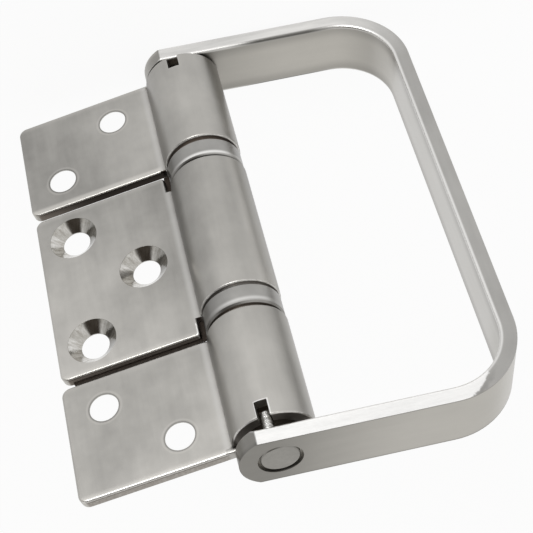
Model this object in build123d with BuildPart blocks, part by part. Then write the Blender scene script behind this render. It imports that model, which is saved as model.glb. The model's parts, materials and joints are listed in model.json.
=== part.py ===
from build123d import *
from math import acos, asin, degrees, sqrt
import os

# Bifold door hinge with a D-handle, in millimetres.
# The hinge stands with its pin upright (+Z) and its three leaves in one plane, reaching to +X.
# The origin is on the far face of the middle leaf, the face that seats on the door edge.
# Distances named "reach" are measured from the pin axis.

# Sheet and leaves
plate_t = 2.5
plate_overhang = 1.1
outer_leaf_reach = 40.4
middle_leaf_reach = 40.0
leaf_gap = 1.8
plate_corner_r = 1.9
relief_corner_r = 0.8
plate_edge_r = 0.5
datum_reach = 25.0

# Rolled knuckles
knuckle_od = 17.0
barrel_height = 100.0
middle_knuckle_height = 35.2
bend_inner_r = 1.25
seam_gap = 0.3
knuckle_edge_r = 0.35

# Screw holes, as reach and height from the middle of each pattern
screw_hole_d = 6.2
countersink_d = 10.8
countersink_angle = 90
free_hole_reach = 32.0
near_hole_reach = 18.0
middle_hole_height = 14.2
outer_free_hole_height = 31.3
outer_near_hole_height = 43.6

# Pin and bushes
pin_d = 8.0
pin_recess = 0.2
pin_end_chamfer = 0.25
press_clearance = 0.01
running_clearance = 0.05

# Ball bearings between the knuckles
bearing_od = 16.6
bearing_seat = 6.2
race_band = 0.9
cup_floor = 1.7
cup_wall = 0.75
cup_neck_height = 0.55
cup_neck_d = 15.2
cup_edge = 0.35
race_clearance = 0.2
ball_d = 2.0
ball_count = 14
ball_play = 0.1

# Handle, a flat bar bent round to a D
bar_width = 14.0
bar_t = 3.4
handle_reach = 50.9
handle_corner_r = 16.0
handle_turn = 12.3
arm_end_r = 8.2
arm_gap_top = 1.7
arm_gap_bottom = 0.6
arm_counterbore_d = 9.1
arm_counterbore_depth = 1.2
inner_edge_r = 0.6

# Dowel that keys the handle to the knuckle, and its slot
slot_width = 2.6
slot_depth = 3.6
slot_inner_r = 4.45
dowel_d = 2.1
dowel_reach = 6.0
dowel_side_play = 0.2
dowel_in_arm = 2.2
dowel_in_slot = 2.1
dowel_chamfer = 0.25

# Sizes that follow from the ones above
knuckle_r = knuckle_od / 2
knuckle_bore_r = knuckle_r - plate_t
pin_r = pin_d / 2
half_barrel = barrel_height / 2
half_plate = half_barrel + plate_overhang
half_middle_knuckle = middle_knuckle_height / 2
outer_knuckle_start = half_middle_knuckle + bearing_seat
half_middle_leaf = outer_knuckle_start - leaf_gap
outer_knuckle_height = half_barrel - outer_knuckle_start
arm_top_inner = half_barrel + arm_gap_top
arm_bottom_inner = -half_barrel - arm_gap_bottom
arm_top = arm_top_inner + bar_t
arm_bottom = arm_bottom_inner - bar_t

# The fold from the flat plate to the roll: two touching arcs through the middle of the sheet
roll_mid_r = knuckle_r - plate_t / 2
bend_mid_r = bend_inner_r + plate_t / 2
fold_span = roll_mid_r + bend_mid_r
fold_angle = degrees(asin(bend_mid_r / fold_span))
fold_start = sqrt(fold_span**2 - bend_mid_r**2)
seam_reach = bend_mid_r + plate_t / 2 + seam_gap
seam_cosine = (knuckle_r**2 + fold_span**2 - seam_reach**2) / (2 * knuckle_r * fold_span)
seam_angle = fold_angle - degrees(acos(seam_cosine))
roll_sweep = 360 + seam_angle - fold_angle

# Planes: the pin axis, the two faces of the leaves, and the plane of the handle
hinge = Plane(origin=(-datum_reach, -plate_t / 2, 0))
pin_axis = Axis(hinge.origin, (0, 0, 1))
pin_section = Plane(origin=hinge.origin, x_dir=(1, 0, 0), z_dir=(0, -1, 0))
near_face = Plane(origin=hinge.origin - (0, plate_t / 2, 0), x_dir=(1, 0, 0), z_dir=(0, -1, 0))
far_face = Plane(origin=hinge.origin + (0, plate_t / 2, 0), x_dir=(-1, 0, 0), z_dir=(0, 1, 0))
handle_level = hinge.rotated((0, 0, 180 - handle_turn))
handle_side = Plane(origin=hinge.origin, x_dir=handle_level.x_dir, z_dir=-handle_level.y_dir)

os.makedirs("parts", exist_ok=True)


def rolled_section(reach):
    """Cross-section of a leaf: flat plate, fold and rolled knuckle, seen along the pin."""
    with BuildSketch() as section:
        with BuildLine():
            fold_centre = (fold_start, bend_mid_r)
            Line((reach, -plate_t / 2), (fold_start, -plate_t / 2))
            CenterArc(fold_centre, bend_mid_r + plate_t / 2, -90, fold_angle - 90)
            CenterArc((0, 0), knuckle_bore_r, fold_angle, roll_sweep)
            Line(
                Vector(knuckle_bore_r, 0).rotate(Axis.Z, seam_angle),
                Vector(knuckle_r, 0).rotate(Axis.Z, seam_angle),
            )
            CenterArc((0, 0), knuckle_r, seam_angle, -roll_sweep)
            CenterArc(fold_centre, bend_inner_r, fold_angle - 180, 90 - fold_angle)
            Line((fold_start, plate_t / 2), (reach, plate_t / 2))
            Line((reach, plate_t / 2), (reach, -plate_t / 2))
        make_face()
    return section.sketch


def roll_cut():
    """Area over the whole roll, up to the fold, that is cut away where the flat overhangs it."""
    with BuildSketch() as cut:
        with Locations(((fold_start - knuckle_od) / 2, 0)):
            Rectangle(fold_start + knuckle_od, 2 * knuckle_od)
    return cut.sketch


def ring_section(outer_r, inner_r):
    """A flat ring about the pin axis."""
    with BuildSketch() as ring:
        Circle(outer_r)
        Circle(inner_r, mode=Mode.SUBTRACT)
    return ring.sketch


def slot_section():
    """The notch in a knuckle's end, open towards the near side."""
    slot_length = knuckle_od - slot_inner_r
    with BuildSketch() as slot:
        with Locations((0, -slot_inner_r - slot_length / 2)):
            Rectangle(slot_width, slot_length)
    return slot.sketch


def bent_outline(reach, height, corner_r):
    """Outline of the handle seen from the side, with its two bends at the grip."""
    with BuildSketch() as bent:
        corners = Rectangle(2 * reach, height).vertices()
        fillet(corners.group_by(Axis.X)[-1], corner_r)
    return bent.sketch


def inside_bar(edge):
    """True for a long edge round the inside of the bent bar."""
    if edge.geom_type == GeomType.CIRCLE:
        return edge.radius < handle_corner_r - bar_t / 2
    place = handle_side.to_local_coords(edge.center())
    margin = 0.75 * bar_t
    return place.X < handle_reach - margin and arm_bottom + margin < place.Y < arm_top - margin


def relief_corners(leaf, roll_end):
    """Upright corner edges of the flat where it overhangs the end of its roll."""
    at_fold = leaf.edges().filter_by(Axis.Y).group_by(Axis.X)[0]
    return at_fold.filter_by(lambda e: abs(e.center().Z) > roll_end + relief_corner_r / 2)


def flat_rim(leaf):
    """Edges round the flat of a leaf on both faces, apart from its fold."""
    fold_x = hinge.origin.X + fold_start
    flats = leaf.faces().filter_by(Plane.XZ).filter_by(lambda f: f.center().X > fold_x)
    return flats.edges().filter_by(lambda e: e.center().X > fold_x + plate_edge_r / 10)


def knuckle_rims(leaf):
    """Round outer edges at the ends of a rolled knuckle."""
    return leaf.edges().filter_by(GeomType.CIRCLE).filter_by(lambda e: abs(e.radius - knuckle_r) < 1e-4)


with BuildPart() as middle_leaf:
    with BuildSketch(hinge.offset(-half_middle_leaf)):
        add(rolled_section(middle_leaf_reach))
    extrude(amount=2 * half_middle_leaf)
    # The roll is shorter than the flat, to leave room for the bearings
    with BuildSketch(hinge.offset(half_middle_knuckle), hinge.offset(-half_middle_leaf)):
        add(roll_cut())
    extrude(amount=half_middle_leaf - half_middle_knuckle, mode=Mode.SUBTRACT)
    fillet(middle_leaf.edges().filter_by(Axis.Y).group_by(Axis.X)[-1], plate_corner_r)
    fillet(relief_corners(middle_leaf, half_middle_knuckle), relief_corner_r)
    fillet(flat_rim(middle_leaf), plate_edge_r)
    fillet(knuckle_rims(middle_leaf), knuckle_edge_r)
    with Locations(near_face):
        with Locations(
            (near_hole_reach, 0),
            (free_hole_reach, middle_hole_height),
            (free_hole_reach, -middle_hole_height),
        ):
            CounterSinkHole(screw_hole_d / 2, countersink_d / 2, counter_sink_angle=countersink_angle)
middle_leaf.part.label = "middle_leaf"

with BuildPart() as upper_leaf:
    with BuildSketch(hinge.offset(outer_knuckle_start)):
        add(rolled_section(outer_leaf_reach))
    extrude(amount=half_plate - outer_knuckle_start)
    with BuildSketch(hinge.offset(half_barrel)):
        add(roll_cut())
    extrude(amount=half_plate - half_barrel, mode=Mode.SUBTRACT)
    fillet(upper_leaf.edges().filter_by(Axis.Y).group_by(Axis.X)[-1], plate_corner_r)
    fillet(relief_corners(upper_leaf, half_barrel), relief_corner_r)
    fillet(flat_rim(upper_leaf), plate_edge_r)
    fillet(knuckle_rims(upper_leaf), knuckle_edge_r)
    # These screws enter from the far side, so their heads sink into the far face
    with Locations(far_face):
        with Locations(
            (-near_hole_reach, outer_near_hole_height),
            (-free_hole_reach, outer_free_hole_height),
        ):
            CounterSinkHole(screw_hole_d / 2, countersink_d / 2, counter_sink_angle=countersink_angle)
    with BuildSketch(hinge.offset(half_barrel - slot_depth)):
        add(slot_section())
    extrude(amount=slot_depth, mode=Mode.SUBTRACT)
upper_leaf.part.label = "upper_leaf"

with BuildPart() as lower_leaf:
    mirror(upper_leaf.part, about=Plane.XY)
lower_leaf.part.label = "lower_leaf"

with BuildPart() as upper_bush:
    with BuildSketch(hinge.offset(outer_knuckle_start)):
        add(ring_section(knuckle_bore_r - press_clearance, pin_r + press_clearance))
    extrude(amount=outer_knuckle_height)
    with BuildSketch(hinge.offset(half_barrel - slot_depth)):
        add(slot_section())
    extrude(amount=slot_depth, mode=Mode.SUBTRACT)
upper_bush.part.label = "upper_bush"

with BuildPart() as lower_bush:
    mirror(upper_bush.part, about=Plane.XY)
lower_bush.part.label = "lower_bush"

with BuildPart() as middle_bush:
    with BuildSketch(hinge.offset(-half_middle_knuckle)):
        add(ring_section(knuckle_bore_r - press_clearance, pin_r + running_clearance))
    extrude(amount=middle_knuckle_height)
middle_bush.part.label = "middle_bush"

# Each bearing: a cup that turns with the middle knuckle, a ring of balls, and a race plate
# that stands out of the cup and seats on the outer knuckle
cup_r = bearing_od / 2
track_outer_r = cup_r - cup_wall
track_floor = half_middle_knuckle + cup_floor
cup_rim = outer_knuckle_start - race_band
ball_circle_r = (pin_r + track_outer_r) / 2
race_bottom = track_floor + ball_d + ball_play

with BuildPart() as upper_bearing_cup:
    with BuildSketch(pin_section):
        with BuildLine():
            Polyline(
                (pin_r + race_clearance, half_middle_knuckle),
                (cup_neck_d / 2, half_middle_knuckle),
                (cup_neck_d / 2, half_middle_knuckle + cup_neck_height),
                (cup_r - cup_edge, half_middle_knuckle + cup_neck_height),
                (cup_r, half_middle_knuckle + cup_neck_height + cup_edge),
                (cup_r, cup_rim - cup_edge),
                (cup_r - cup_edge, cup_rim),
                (track_outer_r, cup_rim),
                (track_outer_r, track_floor),
                (pin_r + race_clearance, track_floor),
                close=True,
            )
        make_face()
    revolve(axis=pin_axis)
upper_bearing_cup.part.label = "upper_bearing_cup"

with BuildPart() as upper_bearing_balls:
    with Locations(hinge.offset(track_floor + ball_d / 2)):
        with PolarLocations(ball_circle_r, ball_count):
            Sphere(ball_d / 2)
upper_bearing_balls.part.label = "upper_bearing_balls"

with BuildPart() as upper_bearing_race:
    with BuildSketch(hinge.offset(race_bottom)):
        add(ring_section(track_outer_r - race_clearance, pin_r + press_clearance))
    extrude(amount=outer_knuckle_start - race_bottom)
upper_bearing_race.part.label = "upper_bearing_race"

with BuildPart() as lower_bearing_cup:
    mirror(upper_bearing_cup.part, about=Plane.XY)
lower_bearing_cup.part.label = "lower_bearing_cup"

with BuildPart() as lower_bearing_balls:
    mirror(upper_bearing_balls.part, about=Plane.XY)
lower_bearing_balls.part.label = "lower_bearing_balls"

with BuildPart() as lower_bearing_race:
    mirror(upper_bearing_race.part, about=Plane.XY)
lower_bearing_race.part.label = "lower_bearing_race"

with BuildPart() as hinge_pin:
    with BuildSketch(hinge.offset(arm_bottom + pin_recess)):
        Circle(pin_r)
    extrude(amount=arm_top - arm_bottom - 2 * pin_recess)
    chamfer(hinge_pin.edges().filter_by(GeomType.CIRCLE), pin_end_chamfer)
hinge_pin.part.label = "hinge_pin"

dowel_place = (dowel_d / 2 + dowel_side_play - slot_width / 2, -dowel_reach)
dowel_foot = half_barrel - dowel_in_slot
dowel_length = dowel_in_slot + arm_gap_top + dowel_in_arm
with BuildPart() as handle_dowel:
    with BuildSketch(hinge.offset(dowel_foot)):
        with Locations(dowel_place):
            Circle(dowel_d / 2)
    extrude(amount=dowel_length)
    chamfer(handle_dowel.edges().filter_by(GeomType.CIRCLE), dowel_chamfer)
handle_dowel.part.label = "handle_dowel"

# The handle: one flat bar bent twice at the grip, its two arms ending in an arc round the pin
with BuildPart() as pull_handle:
    with BuildSketch(handle_side):
        with Locations((0, (arm_top + arm_bottom) / 2)):
            add(bent_outline(handle_reach, arm_top - arm_bottom, handle_corner_r))
            inner_height = arm_top_inner - arm_bottom_inner
            hollow = bent_outline(handle_reach - bar_t, inner_height, handle_corner_r - bar_t)
            add(hollow, mode=Mode.SUBTRACT)
    extrude(amount=bar_width / 2, both=True)
    with BuildSketch(handle_level.offset(arm_bottom)):
        Circle(arm_end_r)
        with Locations((handle_reach / 2, 0)):
            Rectangle(handle_reach, bar_width)
    extrude(amount=arm_top - arm_bottom, mode=Mode.INTERSECT)
    fillet(pull_handle.faces().filter_by(handle_side).edges().filter_by(inside_bar), inner_edge_r)
    with Locations(hinge.offset(arm_top), Plane(origin=hinge.offset(arm_bottom).origin, z_dir=(0, 0, -1))):
        CounterBoreHole(
            pin_r + press_clearance, arm_counterbore_d / 2, arm_counterbore_depth, depth=bar_t
        )
    with BuildSketch(hinge.offset(arm_top_inner)):
        with Locations(dowel_place):
            Circle(dowel_d / 2 + press_clearance)
    extrude(amount=dowel_in_arm, mode=Mode.SUBTRACT)
pull_handle.part.label = "pull_handle"

pieces = (
    middle_leaf,
    upper_leaf,
    lower_leaf,
    middle_bush,
    upper_bush,
    lower_bush,
    upper_bearing_cup,
    upper_bearing_balls,
    upper_bearing_race,
    lower_bearing_cup,
    lower_bearing_balls,
    lower_bearing_race,
    hinge_pin,
    pull_handle,
    handle_dowel,
)
for piece in pieces:
    export_step(piece.part, f"parts/{piece.part.label}.step")
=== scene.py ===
import json
from functools import cached_property
from math import cos, radians, sin
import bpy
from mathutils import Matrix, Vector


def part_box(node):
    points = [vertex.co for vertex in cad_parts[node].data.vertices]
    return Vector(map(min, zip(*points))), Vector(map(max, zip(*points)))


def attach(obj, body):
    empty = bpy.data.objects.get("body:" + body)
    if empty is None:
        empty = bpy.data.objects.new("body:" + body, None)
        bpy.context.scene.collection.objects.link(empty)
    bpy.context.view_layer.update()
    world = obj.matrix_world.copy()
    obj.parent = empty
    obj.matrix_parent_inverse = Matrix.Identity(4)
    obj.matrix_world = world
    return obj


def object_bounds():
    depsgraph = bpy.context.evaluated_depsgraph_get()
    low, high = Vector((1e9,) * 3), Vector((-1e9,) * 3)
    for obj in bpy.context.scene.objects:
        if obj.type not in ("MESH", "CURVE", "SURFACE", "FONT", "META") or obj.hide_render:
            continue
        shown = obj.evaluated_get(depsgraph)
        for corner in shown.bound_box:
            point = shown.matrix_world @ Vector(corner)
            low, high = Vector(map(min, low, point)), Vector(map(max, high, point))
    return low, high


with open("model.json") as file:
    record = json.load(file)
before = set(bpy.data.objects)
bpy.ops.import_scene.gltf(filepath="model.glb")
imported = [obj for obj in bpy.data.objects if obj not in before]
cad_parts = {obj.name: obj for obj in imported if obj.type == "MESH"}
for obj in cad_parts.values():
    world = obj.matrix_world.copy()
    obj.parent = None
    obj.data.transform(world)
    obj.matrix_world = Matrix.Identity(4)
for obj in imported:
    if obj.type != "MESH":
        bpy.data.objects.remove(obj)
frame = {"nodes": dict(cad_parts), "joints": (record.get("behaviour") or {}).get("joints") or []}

from types import SimpleNamespace

import bmesh
import bpy
from mathutils import Matrix, Vector

cad_low, cad_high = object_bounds()

MM = 0.001

# Where things lie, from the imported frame
PIN = Vector(frame["joints"][0]["pos_m"])
HANDLE_LOW, HANDLE_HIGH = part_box("pull_handle")
DOWEL_LOW, DOWEL_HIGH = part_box("handle_dowel")
MIDDLE_LEAF_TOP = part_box("middle_leaf")[1].z
MIDDLE_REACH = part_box("middle_leaf")[1].x - PIN.x
OUTER_LEAF_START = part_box("upper_leaf")[0].z
OUTER_LEAF_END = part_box("upper_leaf")[1].z

# The handle: a flat bar, turned a little to the far side of the leaves
HANDLE_TURN = radians(12.3)
HANDLE_ALONG = Vector((-cos(HANDLE_TURN), sin(HANDLE_TURN), 0))
HANDLE_ACROSS = Vector((-sin(HANDLE_TURN), -cos(HANDLE_TURN), 0))
HANDLE_REACH = 50.9 * MM
HANDLE_CORNER = 16 * MM
BAR = 3.4 * MM
BAR_WIDTH = 14 * MM
ARM_END_R = 8.2 * MM

# The borders at which the linishing of its arms, and the highlight painted on it, stops, as angles
# round the bends from the grip
SLANT = radians(31)
RAGGED = radians(15)
NEAR_STOP = radians(49)
NEAR_SMUDGE = radians(44)
FAR_STOP = radians(38)

# Sheet, rolls and leaves, as distances from the pin or heights from the middle
PLATE_HALF = 1.25 * MM
EDGE_ROUND = 0.42 * MM
FOLD = 9.4 * MM
SEAM = 8.0 * MM
NOTCH = 9.1 * MM
KNUCKLE_R = 8.5 * MM
MIDDLE_KNUCKLE_END = 17.6 * MM
KNUCKLE_START = 23.8 * MM
KNUCKLE_END = 50.0 * MM
GAP_END = 26.0 * MM
CROWN = -2.5 * MM
FAR_FLANK = -6.9 * MM
TORN_LINE = -0.72 * MM
# Distance from the pin about which the painted shade in the gaps lightens
GAP_SHADE_THINS = 31 * MM

# Rims of the bearing cups, which carry painted highlights, and the painted shade line beside the
# lower one, as heights
UPPER_CUP_RIM = 21.9 * MM
LOWER_CUP_RIM = -18.8 * MM
LOWER_CUP_SHADE_LINE = -18.0 * MM

# The dowel's slot in the outer knuckles, on the side of the pin towards which the dowel stands
SLOT_WIDTH = 2.6 * MM
SLOT_DEPTH = 3.6 * MM
TO_DOWEL = ((DOWEL_LOW + DOWEL_HIGH) / 2 - PIN) * Vector((1, 1, 0))
TO_DOWEL.normalize()
BESIDE_DOWEL = TO_DOWEL.cross(Vector((0, 0, 1)))

# Screw holes of the leaves, as distance from the pin and height
COUNTERSINK_R = 5.4 * MM
HOLE_R = 3.1 * MM
MIDDLE_HOLES = ((18.0 * MM, 0.0), (32.0 * MM, 14.2 * MM), (32.0 * MM, -14.2 * MM))
OUTER_HOLES = ((18.0 * MM, 43.6 * MM), (32.0 * MM, 31.3 * MM))

# How near a point is to a sheared edge, or an end of a knuckle, to lie on it
ON_EDGE = 0.12 * MM
ON_END = 0.08 * MM

# Colours that aren't a plain steel grey
WHITE = (1, 1, 1, 1)
SHEARED_STEEL = (0.30, 0.27, 0.245, 1)
END_SHADE = (0.36, 0.33, 0.315, 1)
# Painted shade for the gaps between the leaves, the notches and the slits, darkest first
GAP_SHADE = (0.030, 0.024, 0.020, 1)
THIN_GAP_SHADE = (0.100, 0.084, 0.072, 1)
LIGHT_GAP_SHADE = (0.235, 0.205, 0.180, 1)


class Wire:
    """An output of a node, which takes part in sums with numbers and other wires."""

    def __init__(self, nodes, socket):
        self.nodes = nodes
        self.socket = socket

    def __add__(self, other):
        return self.nodes.maths("ADD", self, other)

    def __sub__(self, other):
        return self.nodes.maths("SUBTRACT", self, other)

    def __rsub__(self, other):
        return self.nodes.maths("SUBTRACT", other, self)

    def __mul__(self, other):
        return self.nodes.maths("MULTIPLY", self, other)

    def __truediv__(self, other):
        return self.nodes.maths("DIVIDE", self, other)

    def __rtruediv__(self, other):
        return self.nodes.maths("DIVIDE", other, self)

    def __neg__(self):
        return self * -1

    def __abs__(self):
        return self.nodes.maths("ABSOLUTE", self)

    __radd__ = __add__
    __rmul__ = __mul__

    def root(self):
        return self.nodes.maths("SQRT", self)

    def at_least(self, other):
        return self.nodes.maths("MAXIMUM", self, other)

    def at_most(self, other):
        return self.nodes.maths("MINIMUM", self, other)

    def angle_from(self, other):
        """Angle of the point that lies this far up and the other far out."""
        return self.nodes.maths("ARCTAN2", self, other)

    def rises(self, start, end):
        """0 up to the start and 1 from the end, turning over smoothly between them."""
        return self.nodes.node(
            "MapRange",
            {"interpolation_type": "SMOOTHSTEP"},
            {"Value": self, "From Min": start, "From Max": end},
        )

    def above(self, limit, soft):
        """0 below the limit and 1 above it, turning over within the soft width."""
        return self.rises(limit - soft / 2, limit + soft / 2)

    def near(self, width):
        """For a distance: 1 where it is nought, falling to 0 at the width."""
        return 1 - self.rises(0.0, width)

    def spread(self):
        """Spreads the usual values of a noise over 0 to 1."""
        return (self - 0.3) * 2.5


class Nodes:
    """The nodes of a material, or of the studio round the hinge."""

    def __init__(self, owner):
        owner.use_nodes = True
        self.tree = owner.node_tree

    def feed(self, socket, value):
        """Links a wire to a socket, or sets the socket to a plain value."""
        if isinstance(value, Wire):
            self.tree.links.new(value.socket, socket)
        else:
            socket.default_value = value

    def node(self, kind, settings, sockets, output=0):
        """Adds a node, sets it up, feeds its sockets and returns one of its outputs.

        Sockets and outputs go by their names or numbers."""
        made = self.tree.nodes.new("ShaderNode" + kind)
        for name, value in settings.items():
            setattr(made, name, value)
        for name, value in sockets.items():
            self.feed(made.inputs[name], value)
        return Wire(self, made.outputs[output])

    def maths(self, operation, *values):
        return self.node("Math", {"operation": operation}, dict(enumerate(values)))

    def vectors(self, operation, a, b, output=0):
        return self.node("VectorMath", {"operation": operation}, {0: a, 1: b}, output)

    def mix(self, share, a, b):
        """A colour between a and b."""
        return self.node("Mix", {"data_type": "RGBA"}, {0: share, 6: a, 7: b}, 2)

    def seen_by(self, *rays):
        """1 for any of the named kinds of ray."""
        first, *others = (self.node("LightPath", {}, {}, ray) for ray in rays)
        for other in others:
            first = first.at_least(other)
        return first

    def whiten(self, plain, white, share, output):
        """Shows the white shader in place of the plain one, by the share."""
        mixed = self.node("MixShader", {}, {0: share, 1: Wire(self, plain.outputs[0]), 2: white})
        self.feed(self.tree.nodes[output].inputs["Surface"], mixed)


class Finish(Nodes):
    """A material and the nodes that make it."""

    def __init__(self, name, **constants):
        self.material = bpy.data.materials.new(name)
        super().__init__(self.material)
        self.surface = self.tree.nodes["Principled BSDF"]
        self.use(**constants)

    def use(self, **sockets):
        for name, value in sockets.items():
            self.feed(self.surface.inputs[name.replace("_", " ")], value)

    @cached_property
    def place(self):
        return self.node("TexCoord", {}, {}, "Object")

    @cached_property
    def from_pin(self):
        return self.vectors("SUBTRACT", self.place, PIN)

    def along(self, direction):
        """Distance of the shaded point from the pin, along a direction."""
        return self.vectors("DOT_PRODUCT", self.from_pin, direction, "Value")

    def axes(self):
        """Distances of the shaded point from the pin, along the hinge's own three directions."""
        return [self.along(axis) for axis in ((1, 0, 0), (0, 1, 0), (0, 0, 1))]

    def vector(self, x, y, z):
        return self.node("CombineXYZ", {}, {"X": x, "Y": y, "Z": z})

    def noise(self, place, scale, detail=2.0, rough=0.5):
        sockets = {"Vector": place, "Scale": scale, "Detail": detail, "Roughness": rough}
        return self.node("TexNoise", {}, sockets, "Fac")

    def coats(self, colour, *coats):
        """Lays coats over a colour. Each is its share, from 0 to 1, and its own colour."""
        for share, coat in coats:
            colour = self.mix(share, colour, coat)
        return colour

    def relief(self, *layers):
        """The normal of a surface with layers of relief.

        Each layer is a height from 0 to 1 and the depth in metres for which 1 stands."""
        under = {}
        for height, depth in layers:
            sockets = {"Height": height, "Distance": depth, "Strength": 1.0, **under}
            under = {"Normal": self.node("Bump", {}, sockets, "Normal")}
        return under["Normal"]

    def dress(self, *nodes):
        """Gives this finish to CAD nodes."""
        for name in nodes:
            materials = frame["nodes"][name].data.materials
            materials.clear()
            materials.append(self.material)


def grey(level, warmth=0.03):
    """A steel grey, slightly warm."""
    return (level * (1 + warmth), level, level * (1 - 2 * warmth), 1.0)


def brushed(steel, across, along):
    """Grain, streaks, clouds and fine mottling of a brushed surface, each from about 0 to 1."""

    def lines(per_metre_across, per_metre_along, rough):
        stretched = steel.vector(
            across[0] * per_metre_across, across[1] * per_metre_across, along * per_metre_along
        )
        return steel.noise(stretched, 1.0, 3.0, rough)

    grain = lines(7000, 500, 0.6)
    streaks = lines(420, 60, 0.55).spread()
    clouds = steel.noise(steel.place, 95.0, 3.0, 0.6).spread()
    mottle = steel.noise(steel.place, 520.0, 3.0, 0.6)
    return grain, streaks, clouds, mottle


def leaf_places(steel, edges):
    """Where a point of a leaf lies: from the pin, from the middle and from its sheared edges."""
    at = SimpleNamespace()
    at.x, at.y, at.z = steel.axes()
    at.height = abs(at.z)
    at.depth = abs(at.y)
    at.out = (at.x * at.x + at.y * at.y).root()
    low, high = edges
    at.is_outer = low > 0
    at.from_gap = at.height - low
    at.from_edge = high - at.height
    if at.is_outer:
        at.from_edge = at.from_gap.at_most(at.from_edge)
    at.on_flat = at.x.above(FOLD, 1.0 * MM)
    at.on_roll = (-at.y).above(1.5 * MM, 0.3 * MM)
    at.on_edge = at.from_edge.near(ON_EDGE) * (at.depth - PLATE_HALF + EDGE_ROUND).near(0.3 * MM)
    # The rolled-over border of the flat: sunk a little in the relief, and painted lighter there as
    # a highlight
    at.rolled_over = at.from_edge.near(1.8 * MM) * at.on_flat
    at.specks = steel.noise(steel.place, 1500.0, 4.0, 0.7)
    return at


def screw_holes(steel, at, holes):
    """Turned countersinks, painted in shade on one side, and a thin burnished rim round the plain
    side of each hole.
    """
    height = at.height if at.is_outer else at.z
    radii = []
    aside = 0.0
    above_centre = 0.0
    for reach, up in holes:
        beside, over = at.x - reach, height - up
        radii.append((beside * beside + over * over).root())
        here = (radii[-1] - COUNTERSINK_R).near(0.1 * MM)
        aside = here * beside + aside
        above_centre = here * over + above_centre
    radius = radii[0]
    for other in radii[1:]:
        radius = radius.at_most(other)
    aside, above_centre = aside / radius, above_centre / radius
    below_face = (at.depth - PLATE_HALF + 0.06 * MM).near(0.04 * MM)
    plain_side = 1 - below_face
    found = SimpleNamespace()
    found.inside = (radius - COUNTERSINK_R).near(0.1 * MM) * below_face
    found.rings = steel.noise(steel.vector(radius * 8000, at.x * 60, at.z * 60), 1.0, 3.0, 0.65)
    round_hole = steel.vector(aside * 6, above_centre * 6, radius * 700)
    found.chatter = (steel.noise(round_hole, 1.0, 3.0, 0.7) - 0.32) * 2.4
    shaded_side = (aside * -0.95 + above_centre * 0.1).above(0.55, 0.8)
    found.cut = steel.coats(
        steel.mix(found.chatter, grey(0.34, 0.05), grey(0.82, 0.01)),
        (found.rings * 0.5, grey(0.52, 0.04)),
        (shaded_side * 0.75, grey(0.10, 0.05)),
    )
    halo = abs(radius - HOLE_R - 0.6 * MM).near(0.4 * MM) * plain_side
    rim = abs(radius - HOLE_R - 0.16 * MM).near(0.22 * MM) * plain_side
    found.rims = [(halo * 0.20, grey(0.65)), (rim * 0.55, grey(0.10))]
    return found


def border_coats(at, gap_highlight):
    """Painted highlights along the borders of the flat, where shearing rolled its edges over,
    strongest at the upper leaf's outer edge, with a painted glint along the near side.
    """
    near_end = at.z.above(OUTER_LEAF_END - 3 * MM, 2 * MM)
    highlight_by_gap = at.from_gap.above(0.4 * MM, 0.3 * MM) * (1 - at.from_gap.above(1.5 * MM, 0.9 * MM))
    on_near_side = (-at.y).above(0.8 * MM, 0.15 * MM)
    glint = (at.from_edge - 0.35 * MM).near(0.3 * MM) * on_near_side * at.on_flat
    return [
        (at.rolled_over * (0.26 + 0.22 * near_end), grey(0.70)),
        (highlight_by_gap * at.on_flat * gap_highlight, grey(0.70)),
        (glint * near_end * 0.5, grey(0.97, 0.01)),
    ]


def roll_coats(at, flank):
    """Painted shade on the knuckle towards the seam and in the crease at the seam, a painted
    highlight on its crown and on the bend beside the seam, and its side towards the handle painted
    to a given grey: painted shade on the outer leaves, a painted highlight on the middle one.
    """
    shaded = at.x.above(4.5 * MM, 9 * MM) * at.on_roll
    crown = abs(at.x - CROWN).near(7.5 * MM) * at.on_roll
    far_flank = abs(at.x - FAR_FLANK).near(2.2 * MM) * at.on_roll
    beside_seam = abs(at.x - FOLD).near(1.1 * MM) * (at.depth - 1.9 * MM).near(0.4 * MM)
    seam = abs(at.x - SEAM).near(1.5 * MM) * at.on_roll
    return [
        (shaded * 0.28, grey(0.14)),
        (crown * 0.26, grey(0.58)),
        (far_flank * 0.24, grey(flank)),
        (beside_seam * 0.42, grey(0.58, 0.012)),
        (seam * 0.30, grey(0.12)),
    ]


def edge_coats(at):
    """Sheared edges, speckled, with a dark line where the steel tore."""
    torn = abs(at.y - TORN_LINE).near(0.24 * MM) * at.from_edge.near(0.2 * MM) * at.on_flat
    return [
        (at.on_edge * at.on_flat * (1.35 - at.specks * 1.5), SHEARED_STEEL),
        (torn * 0.6, grey(0.09, 0.08)),
    ]


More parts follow.
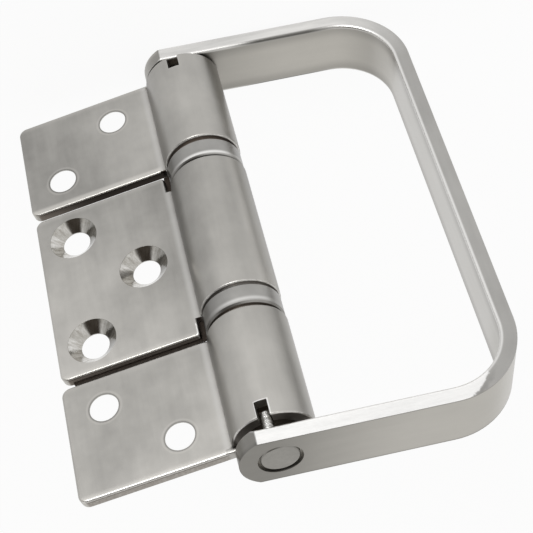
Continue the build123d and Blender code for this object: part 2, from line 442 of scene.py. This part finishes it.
def gap_coats(steel, at, gap_shade_colour):
    """Painted shade in the gap between two leaves, lightening towards the free edge, and in the
    notch by the bearing, with a painted highlight on the notch's rim.
    """
    in_gap = at.on_edge * at.x.above(7.6 * MM, 0.4 * MM) * (1 - at.height.above(GAP_END, 1 * MM))
    less_shaded = at.x.above(GAP_SHADE_THINS, 22 * MM)
    in_notch = (abs(at.x - NOTCH) - 0.5 * MM).near(0.35 * MM) * at.from_edge.near(5 * MM)
    in_notch = in_notch * (at.depth - PLATE_HALF + 0.05 * MM).near(0.04 * MM)
    in_notch = in_notch * at.height.above(MIDDLE_KNUCKLE_END, 0.2 * MM)
    in_notch = in_notch * (1 - at.height.above(KNUCKLE_START + 0.4 * MM, 0.4 * MM))
    notch_rim = abs(at.x - NOTCH - 0.72 * MM).near(0.28 * MM) * (-at.y).above(0.7 * MM, 0.3 * MM)
    notch_rim = notch_rim * at.z.above(MIDDLE_KNUCKLE_END + 1.2 * MM, 0.6 * MM)
    notch_rim = notch_rim * (1 - at.z.above(KNUCKLE_START, 0.1 * MM))
    return [
        (in_gap, steel.mix(less_shaded * less_shaded, gap_shade_colour, LIGHT_GAP_SHADE)),
        (in_notch, GAP_SHADE),
        (notch_rim * (at.specks * 1.5), grey(0.95, 0.01)),
    ]


def knuckle_end_coats(at, ends):
    """The end faces of a knuckle, in painted shade, and their rims: a painted highlight at the
    upper end, painted shade at the lower.
    """
    outside = at.out.above(KNUCKLE_R - 0.34 * MM, 0.1 * MM)
    outside = outside * (1 - at.out.above(KNUCKLE_R + 0.1 * MM, 0.1 * MM))
    upper, lower = (abs(at.z - end) for end in ends)
    faces = upper.at_most(lower).near(ON_END) * (1 - outside) * (1 - at.x.above(FOLD, 0.5 * MM))
    rim_highlight = (upper - 0.10 * MM).near(0.22 * MM) * outside
    rim_shade = (lower - 0.05 * MM).near(0.25 * MM) * outside
    rims = [
        (rim_highlight * (at.specks * 1.6 - 0.35), grey(0.95, 0.01)),
        (rim_shade * 0.6, grey(0.12)),
    ]
    return [(faces * 0.8, END_SHADE)], rims


def slot_coats(steel, at):
    """A painted highlight along the border of the dowel's slot, faint on the lower knuckle, and
    painted shadow in the slit at the crease beside the end.
    """
    beside_dowel = abs(steel.along(BESIDE_DOWEL)) - SLOT_WIDTH / 2
    to_slot = beside_dowel.at_least(KNUCKLE_END - SLOT_DEPTH - at.height)
    border = to_slot.near(0.32 * MM) * steel.along(TO_DOWEL).above(6 * MM, 1 * MM)
    border = border * at.out.above(KNUCKLE_R - 0.06 * MM, 0.04 * MM)
    border = border * (0.15 + 0.85 * at.z.above(0.0, 1 * MM))
    slit = (abs(at.x - SEAM) - 0.3 * MM).near(0.8 * MM)
    slit = slit * (abs(at.height - KNUCKLE_END) - 0.1 * MM).near(0.5 * MM)
    return [(border * 0.8, grey(0.92, 0.01)), (slit * 0.85, GAP_SHADE)]


def leaf_finish(
    name, level, holes, edges, ends, lighter_up, lighter_out, flank, gap_shade_colour, gap_highlight
):
    """Satin sheet, brushed along the pin, with turned countersinks and sheared edges.

    level: grey level of the sheet
    holes: distance from the pin and height of each screw hole
    edges: heights between which the leaf lies, measured up or down from the hinge's middle
    ends: heights of its knuckle's upper and lower end
    lighter_up: how much lighter it gets towards its upper edge
    lighter_out: how much lighter it gets towards its free edge, or darker if below nought
    flank: grey level painted on the knuckle's side towards the handle, painted shade where it is
    dark and a painted highlight where it is light
    gap_shade_colour: colour painted in its gap beside the knuckle, as painted shade
    gap_highlight: share of a painted highlight along the gap"""
    steel = Finish(name, Metallic=1.0)
    at = leaf_places(steel, edges)
    hole = screw_holes(steel, at, holes)
    end_faces, end_rims = knuckle_end_coats(at, ends)
    grain, streaks, clouds, mottle = brushed(steel, (at.x, at.y), at.z)
    broad = steel.noise(steel.place, 36.0, 2.0).spread()
    upwards = (at.z - min(ends)) / (max(ends) - min(ends)) - 0.5
    outwards = at.x.above(22 * MM, 26 * MM) - 0.5
    tone = clouds * 0.38 + broad * 0.34 + streaks * 0.18 + mottle * 0.12 + grain * 0.06 - 0.04
    tone = tone + upwards * lighter_up + outwards * lighter_out
    colour = steel.coats(
        steel.mix(tone, grey(level * 0.72, 0.028), grey(level * 1.31, 0.028)),
        *border_coats(at, gap_highlight),
        *roll_coats(at, flank),
        *hole.rims,
        *edge_coats(at),
        *end_faces,
        *gap_coats(steel, at, gap_shade_colour),
        *end_rims,
        *(slot_coats(steel, at) if at.is_outer else []),
        (hole.inside, hole.cut),
    )
    plain = 1 - hole.inside
    sheared = at.on_edge * at.on_flat
    steel.use(
        Base_Color=colour,
        Roughness=(0.36 + 0.05 * clouds) * plain + hole.inside * 0.10 + sheared * 0.1,
        Normal=steel.relief(
            ((grain * 0.8 + streaks * 0.5) * plain, 0.005 * MM),
            (clouds * plain, 0.03 * MM),
            (at.rolled_over * at.rolled_over, -0.06 * MM),
            ((hole.rings * 0.25 + hole.chatter * 0.2) * hole.inside, 0.025 * MM),
        ),
    )
    return steel


def bearing_cup_finish():
    """Steel turned on a lathe, with fine rings about the pin, painted highlights on its rims that
    are brightest on one side, painted shade towards the leaves and a painted shade line beside the
    lower rim.
    """
    steel = Finish("bearing_cup_steel", Metallic=1.0)
    x = steel.along((1, 0, 0))
    z = steel.along((0, 0, 1))
    rings = steel.noise(steel.vector(z * 9000, 0.0, 0.0), 1.0, 3.0)
    clouds = steel.noise(steel.place, 190.0, 3.0).spread()
    # How far a point lies on the side where the rims' painted highlights are brightest
    facing = steel.along((-0.275, -0.961, 0)).above(6.6 * MM, 3.6 * MM)
    upper_rim_highlight = abs(z - UPPER_CUP_RIM).near(0.75 * MM)
    lower_rim_highlight = abs(z - LOWER_CUP_RIM).near(0.75 * MM)
    cup_shade_line = (abs(z - LOWER_CUP_SHADE_LINE) - 0.12 * MM).near(0.25 * MM)
    shaded = x.above(3.5 * MM, 8 * MM)
    colour = steel.coats(
        steel.mix(rings * 0.2 + clouds * 0.6, grey(0.29, 0.02), grey(0.43, 0.02)),
        (shaded * 0.7, grey(0.10)),
        (upper_rim_highlight * (0.08 + facing * 0.42), grey(0.88, 0.01)),
        (lower_rim_highlight * (0.20 + facing * 0.65), grey(0.92, 0.01)),
        (cup_shade_line * 0.8, grey(0.11)),
    )
    steel.use(
        Base_Color=colour,
        Roughness=0.30 + 0.08 * clouds,
        Normal=steel.relief((rings, 0.003 * MM), (clouds, 0.015 * MM)),
    )
    return steel


def pin_finish():
    """Ground pin, its ends faced with faint marks."""
    steel = Finish("pin_steel", Metallic=1.0)
    marks = steel.noise(steel.place, 1400.0, 4.0, 0.65)
    stains = steel.noise(steel.place, 260.0, 2.0)
    steel.use(
        Base_Color=steel.mix(marks * 0.6 + stains * 0.4, grey(0.24), grey(0.42)),
        Roughness=0.36 + 0.1 * marks,
        Normal=steel.relief((marks, 0.012 * MM)),
    )
    return steel


def bar_places(steel):
    """Where a point of the handle's bar lies: out from the pin, across the bar, up from the
    handle's middle, past the bends and through the bar's thickness."""
    at = SimpleNamespace()
    at.out = steel.along(HANDLE_ALONG)
    at.across = steel.along(HANDLE_ACROSS)
    at.up = steel.along((0, 0, 1)) - (HANDLE_LOW.z + HANDLE_HIGH.z) / 2
    straight = (HANDLE_HIGH.z - HANDLE_LOW.z) / 2 - HANDLE_CORNER
    past_side = at.out - (HANDLE_REACH - HANDLE_CORNER)
    past_near = at.up - straight
    past_far = -straight - at.up
    side = past_side.at_least(0.0)
    end = past_near.at_least(past_far).at_least(0.0)
    # Depth from the inner face of the bar, all the way round
    at.depth = (side * side + end * end).root() - (HANDLE_CORNER - BAR)
    at.thick = at.depth / BAR
    at.outer = at.thick.above(0.8, 0.3)
    at.from_border = BAR_WIDTH / 2 - abs(at.across)
    at.on_edge = abs(at.across).above(BAR_WIDTH / 2 - 0.04 * MM, 0.03 * MM)
    at.near_face = past_near.above(0.0, 12 * MM)
    at.far_face = past_far.above(0.0, 12 * MM)
    # Linished edges of the arms, painted bright as highlights: an angle is 0 at the grip and a
    # quarter turn at the arm
    ragged = (steel.noise(steel.place, 900.0, 3.0, 0.6) - 0.5) * RAGGED
    at.slanted = past_near.angle_from(past_side) - at.thick * SLANT + ragged
    at.near_arm = at.slanted.above(NEAR_STOP, radians(5)) * past_near.above(-2 * MM, 4 * MM)
    at.round_far = past_far.angle_from(past_side)
    at.far_arm = at.round_far.above(FAR_STOP, radians(90)) * past_far.above(-2 * MM, 4 * MM)
    return at


def bar_face(steel, at, tone):
    """Colour of the broad faces of the bar, with painted shade by the pins, in the far bend, beside
    the fillets and along the outer borders, and painted light further out on the near face, on the
    far arm's inner face and round the grip.
    """
    inner = 1 - at.outer
    grip = (1 - at.near_face) * (1 - at.far_face)
    by_the_pin = 1 - at.out.above(12 * MM, 34 * MM)
    by_the_far_pin = 1 - at.out.above(14 * MM, 24 * MM)
    in_far_bend = abs(at.round_far - FAR_STOP).near(radians(48))
    beside_fillet = (at.from_border - 0.8 * MM).near(3.2 * MM) * inner
    return steel.coats(
        steel.mix(tone, grey(0.34, 0.035), grey(0.50, 0.035)),
        (at.near_face * at.outer * by_the_pin * 0.62, grey(0.16, 0.03)),
        (at.near_face * at.outer * (1 - by_the_pin) * 0.55, grey(0.62, 0.03)),
        (at.far_face * inner * 0.50, grey(0.62, 0.035)),
        (at.far_face * inner * by_the_far_pin * 0.35, grey(0.14)),
        (grip * 0.55, grey(0.64, 0.015)),
        (in_far_bend * inner * 0.26, grey(0.17, 0.02)),
        (beside_fillet * 0.34, grey(0.16)),
        (at.from_border.near(0.55 * MM) * at.outer * 0.55, grey(0.12)),
    )


def bar_edge(steel, at, tone, grain, streaks):
    """Colour of the long edges of the bar: plain round the grip, linished along the arms and
    painted bright there as highlights.
    """
    smudge = abs(at.slanted - NEAR_SMUDGE).near(radians(11)) * at.thick.above(0.5, 1.0)
    far_edge_highlight = steel.mix(streaks, grey(0.60, 0.012), grey(0.78, 0.012))
    near_edge_highlight = steel.mix(grain * 0.6 + streaks * 0.3, grey(0.70, 0.006), grey(0.94, 0.006))
    return steel.coats(
        steel.mix(tone, grey(0.33, 0.02), grey(0.45, 0.02)),
        (smudge * 0.38, grey(0.13)),
        (at.far_arm * 0.9, far_edge_highlight),
        (at.near_arm, near_edge_highlight),
    )


def handle_finish():
    """Flat bar brushed along its length. The long edges of the arms are linished and painted bright
    as highlights. The linishing and its painted highlight stop in the bends: at a slanted border in
    the near one, gradually in the far one."""
    steel = Finish("handle_bar_steel", Metallic=1.0)
    at = bar_places(steel)
    grain, streaks, clouds, mottle = brushed(steel, (at.across, at.depth), at.out + at.up)
    broad = steel.noise(steel.place, 30.0, 2.0).spread()
    tone = clouds * 0.32 + broad * 0.30 + streaks * 0.28 + mottle * 0.10 + grain * 0.08
    # Rounded inner borders: a painted highlight round the grip and bends, painted shade along the
    # far arm
    round_line = (at.from_border + at.depth - 0.35 * MM).near(0.5 * MM) * (1 - at.outer)
    before_far_bend = 1 - at.out.above(HANDLE_REACH - HANDLE_CORNER, 10 * MM)
    along_far_arm = at.far_face * at.out.above(15 * MM, 8 * MM) * before_far_bend
    # The sawn round end of each arm
    sawn = (at.out * at.out + at.across * at.across).root().above(ARM_END_R - 0.06 * MM, 0.04 * MM)
    sawn = sawn * (1 - at.out.above(-1 * MM, 1 * MM))
    colour = steel.coats(
        bar_face(steel, at, tone),
        (at.on_edge, bar_edge(steel, at, tone, grain, streaks)),
        (round_line * (1 - at.near_arm) * 0.75, grey(0.86, 0.01)),
        (round_line * along_far_arm, grey(0.15)),
        (round_line * at.near_arm * 0.7, grey(0.97, 0.01)),
        (sawn * (0.25 + at.near_face * 0.36), grey(0.13)),
    )
    linished = at.on_edge * (at.near_arm + at.far_arm)
    steel.use(
        Base_Color=colour,
        Roughness=0.33 + 0.05 * clouds + linished * 0.16,
        Normal=steel.relief(
            (grain * 0.8 + streaks * 0.8, 0.006 * MM),
            ((streaks + grain * 1.5) * linished, 0.012 * MM),
            (clouds, 0.02 * MM),
        ),
    )
    return steel


def dowel_finish():
    """Bright zinc-like skin with shallow dents."""
    steel = Finish("dowel_steel", Metallic=1.0, Roughness=0.25)
    dents = steel.noise(steel.place, 1700.0, 3.0, 0.65).spread()
    steel.use(
        Base_Color=steel.mix(dents, grey(0.22), grey(0.95, 0.01)),
        Normal=steel.relief((dents, 0.08 * MM)),
    )
    return steel


def shaded_inner_finish(name, dark, light):
    """Dull inner metal, brownish, painted dark as the shade it lies in inside the knuckles,
    mottled.
    """
    steel = Finish(name, Metallic=1.0)
    stains = steel.noise(steel.place, 900.0, 4.0, 0.6)
    steel.use(
        Base_Color=steel.mix(stains, dark, light),
        Roughness=0.45 + 0.2 * stains,
        Normal=steel.relief((stains, 0.01 * MM)),
    )
    return steel


def gap_shade_finish():
    """Dull metal painted near black, mottled, as the shade in the gaps between the leaves."""
    steel = Finish("gap_shade_steel", Metallic=1.0, Roughness=0.6)
    shade_mottle = steel.noise(steel.place, 1100.0, 4.0, 0.6)
    steel.use(
        Base_Color=steel.mix(shade_mottle, (0.022, 0.018, 0.015, 1), (0.080, 0.064, 0.053, 1)),
        Normal=steel.relief((shade_mottle, 0.02 * MM)),
    )
    return steel


def add_object(name, data):
    """Puts an object that holds the data into the scene, at the origin."""
    made = bpy.data.objects.new(name, data)
    bpy.context.scene.collection.objects.link(made)
    return made


def add_mesh(name, body, steel):
    """Makes an object of a finished mesh."""
    mesh = bpy.data.meshes.new(name)
    body.to_mesh(mesh)
    body.free()
    mesh.materials.append(steel.material)
    return add_object(name, mesh)


def add_piece(name, body, steel, moves_with):
    """Makes a piece of the hinge and lets it ride with one of its bodies."""
    piece = add_mesh(name, body, steel)
    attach(piece, moves_with)


def add_block(body, low, high, edge_radius):
    """Adds a box with rounded edges, given in distances from the pin."""
    low, high = Vector(low), Vector(high)
    made = bmesh.ops.create_cube(body, size=1.0)["verts"]
    bmesh.ops.scale(body, vec=high - low, verts=made)
    bmesh.ops.translate(body, vec=PIN + (low + high) / 2, verts=made)
    edges = list({edge for vert in made for edge in vert.link_edges})
    bmesh.ops.bevel(
        body, geom=edges, offset=edge_radius, segments=3, profile=0.5, affect="EDGES", material=-1
    )


def make_leaf_corner(name, steel, upwards):
    """The sheet's outer corner beside the roll, where the leaf's edge runs on to the seam."""
    corner = bmesh.new()
    start, end = 7.3 * MM, 10.6 * MM
    middle = (OUTER_LEAF_END - 0.71 * MM) * upwards
    half_height = 0.69 * MM
    half_depth = PLATE_HALF - 0.02 * MM
    low = (start, -half_depth, middle - half_height)
    high = (end, half_depth, middle + half_height)
    add_block(corner, low, high, edge_radius=0.45 * MM)
    for face in corner.faces:
        face.smooth = True
    add_piece(name, corner, steel, "root")


def make_notch_shade_webs():
    """Dark webs on the far side of the middle leaf's gaps, closing the notches by the bearings: a
    dark sheet put in as painted shade.
    """
    webs = bmesh.new()
    top = MIDDLE_LEAF_TOP
    notch_start, notch_end = FOLD - 1.06 * MM, FOLD + 0.3 * MM
    beside_knuckle = MIDDLE_KNUCKLE_END + 0.1 * MM
    near_face, far_face = 0.35 * MM, PLATE_HALF - 0.1 * MM
    for (start, bottom), (end, upper) in (
        ((notch_start, beside_knuckle), (notch_end, top + 0.35 * MM)),
        ((FOLD, top - 0.5 * MM), (MIDDLE_REACH - 2.2 * MM, top + 0.35 * MM)),
        ((notch_start, -top - 1.3 * MM), (notch_end, -beside_knuckle)),
    ):
        low, high = (start, near_face, bottom), (end, far_face, upper)
        add_block(webs, low, high, edge_radius=0.08 * MM)
    add_piece("middle_leaf_shade_webs", webs, gap_shade_finish(), "middle")


def make_floor():
    """A large pale floor below the hinge, white to the eye and in the steel but for its shadow."""
    pale = Finish("pale_floor", Base_Color=(0.9, 0.9, 0.9, 1), Roughness=0.9)
    white = pale.node("Emission", {}, {"Color": WHITE})
    whiteness = 0.92
    seen = pale.seen_by("Is Camera Ray", "Is Glossy Ray", "Is Transmission Ray")
    pale.whiten(pale.surface, white, seen * whiteness, "Material Output")
    plane = bmesh.new()
    made = bmesh.ops.create_grid(plane, x_segments=1, y_segments=1, size=2.0)["verts"]
    bmesh.ops.translate(plane, vec=(0, 0, cad_low[2] - 1 * MM), verts=made)
    floor = add_mesh("floor", plane, pale)


def make_studio():
    """Pale light all round, with a dark patch on the side from which the hinge is looked at."""
    world = bpy.data.worlds.new("studio")
    bpy.context.scene.world = world
    studio = Nodes(world)
    soft = studio.tree.nodes["Background"]
    direction = studio.node("TexCoord", {}, {}, "Generated")
    dark_side = Vector((0.36, -0.60, 0.70)).normalized()
    facing = studio.vectors("DOT_PRODUCT", direction, dark_side, "Value")
    dark = facing.rises(cos(radians(37)), cos(radians(20)))
    colour = studio.mix(dark, (0.90, 0.895, 0.88, 1), (0.07, 0.06, 0.05, 1))
    studio.feed(soft.inputs["Color"], colour)
    studio.feed(soft.inputs["Strength"], 0.9)
    white = studio.node("Background", {}, {"Color": WHITE})
    studio.whiten(soft, white, studio.seen_by("Is Camera Ray"), "World Output")


def make_softbox(name, direction, distance, size, power):
    """A square lamp that faces the pin."""
    lamp = bpy.data.lights.new(name, "AREA")
    lamp.shape = "SQUARE"
    lamp.size = size
    lamp.energy = power
    body = add_object(name, lamp)
    aim = Vector(direction).normalized()
    body.location = PIN + aim * distance
    body.rotation_euler = aim.to_track_quat("Z", "Y").to_euler()
    body.visible_camera = False


def make_camera():
    """The photograph's view: rolled, so that the hinge's top end is low in the picture."""
    right = Vector((-0.9411, 0.2628, 0.2129))
    back = Vector((-0.0822, -0.7884, 0.6097))
    up = back.cross(right)
    eye = PIN + Vector((-33.71, -253.57, 206.09)) * MM
    picture_pixels, focal_pixels = 533.0, 1542.0
    lens = bpy.data.cameras.new("camera")
    lens.sensor_width = 36.0
    lens.lens = lens.sensor_width * focal_pixels / picture_pixels
    camera = add_object("camera", lens)
    turn = Matrix((right, up, back)).transposed().to_4x4()
    camera.matrix_world = Matrix.Translation(eye) @ turn
    bpy.context.scene.camera = camera


middle_steel = leaf_finish(
    "middle_leaf_steel",
    level=0.375,
    holes=MIDDLE_HOLES,
    edges=(0.0, MIDDLE_LEAF_TOP),
    ends=(MIDDLE_KNUCKLE_END, -MIDDLE_KNUCKLE_END),
    lighter_up=0.5,
    lighter_out=0.36,
    flank=0.75,
    gap_shade_colour=THIN_GAP_SHADE,
    gap_highlight=0.0,
)
upper_steel = leaf_finish(
    "upper_leaf_steel",
    level=0.385,
    holes=OUTER_HOLES,
    edges=(OUTER_LEAF_START, OUTER_LEAF_END),
    ends=(KNUCKLE_END, KNUCKLE_START),
    lighter_up=0.3,
    lighter_out=-0.10,
    flank=0.16,
    gap_shade_colour=GAP_SHADE,
    gap_highlight=0.0,
)
lower_steel = leaf_finish(
    "lower_leaf_steel",
    level=0.355,
    holes=OUTER_HOLES,
    edges=(OUTER_LEAF_START, OUTER_LEAF_END),
    ends=(-KNUCKLE_START, -KNUCKLE_END),
    lighter_up=0.0,
    lighter_out=-0.34,
    flank=0.30,
    gap_shade_colour=GAP_SHADE,
    gap_highlight=0.42,
)
bush_steel = shaded_inner_finish("bush_steel", (0.06, 0.05, 0.04, 1), (0.20, 0.17, 0.14, 1))
race_steel = shaded_inner_finish("race_steel", (0.11, 0.091, 0.077, 1), (0.28, 0.236, 0.20, 1))

middle_steel.dress("middle_leaf")
upper_steel.dress("upper_leaf")
lower_steel.dress("lower_leaf")
bearing_cup_finish().dress("upper_bearing_cup", "lower_bearing_cup")
pin_finish().dress("hinge_pin")
handle_finish().dress("pull_handle")
dowel_finish().dress("handle_dowel")
bush_steel.dress("upper_bush", "lower_bush", "middle_bush")
race_steel.dress("upper_bearing_race", "lower_bearing_race")
race_steel.dress("upper_bearing_balls", "lower_bearing_balls")

make_notch_shade_webs()
make_leaf_corner("upper_leaf_corner", upper_steel, 1)
make_leaf_corner("lower_leaf_corner", lower_steel, -1)
make_camera()
make_floor()
make_studio()
make_softbox("overhead_softbox", direction=(0.06, -1.0, 0.10), distance=0.8, size=0.42, power=3.2)
bpy.context.scene.view_settings.view_transform = "Standard"
